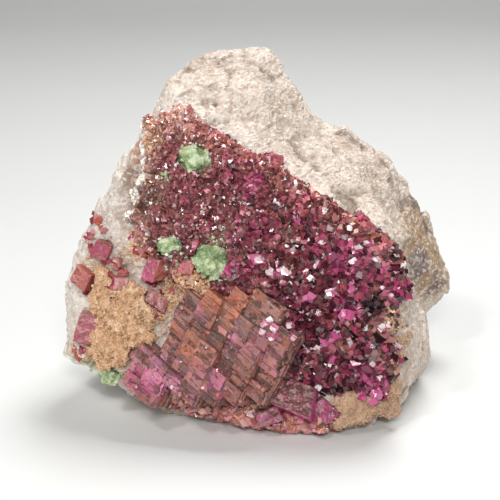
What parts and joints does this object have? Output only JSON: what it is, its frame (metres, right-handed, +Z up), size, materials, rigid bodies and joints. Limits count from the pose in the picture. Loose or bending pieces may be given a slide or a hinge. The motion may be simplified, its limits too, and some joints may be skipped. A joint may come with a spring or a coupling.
{
  "type": "cobaltoan calcite specimen",
  "caption": "Hand-sized mineral specimen: a druse of magenta rhombohedral calcite crystals with one large stepped crystal, on a broken block of pale dolomite that stands on a flat break.",
  "frame": {"origin": "a point on the flat break that the block stands on", "axes": "+X to the viewer's right across the druse, +Y away from the viewer into the block, +Z up"},
  "size_m": [0.0764, 0.0555, 0.0672],
  "materials": {
    "dolomite": "pale, sugary, broken surface with tan and grey stains",
    "rose_calcite": "wine red to magenta, glassy crystal faces",
    "iron_stained_calcite": "orange brown to dusty pink, satin cleavage steps",
    "malachite": "pale green, earthy and matt",
    "ochre_earth": "sandy tan, granular and matt"
  },
  "bodies": {
    "root": {"matrix_rock": "dolomite", "calcite_druse": "rose_calcite", "calcite_foot_crust": "rose_calcite", "foot_calcite_crystal": "rose_calcite", "rhomb_rose": "rose_calcite", "rhomb_garnet": "rose_calcite", "rhomb_left_foot": "rose_calcite", "rhomb_left_crown": "rose_calcite", "rhomb_crimson": "rose_calcite", "rhomb_bead": "rose_calcite", "rhomb_pink_foot": "rose_calcite", "rhomb_coral": "rose_calcite", "stepped_calcite_crystal": "iron_stained_calcite", "malachite_upper": "malachite", "malachite_middle": "malachite", "malachite_olive": "malachite", "malachite_corner": "malachite", "ochre_left": "ochre_earth", "ochre_right": "ochre_earth"}
  },
  "joints": []
}
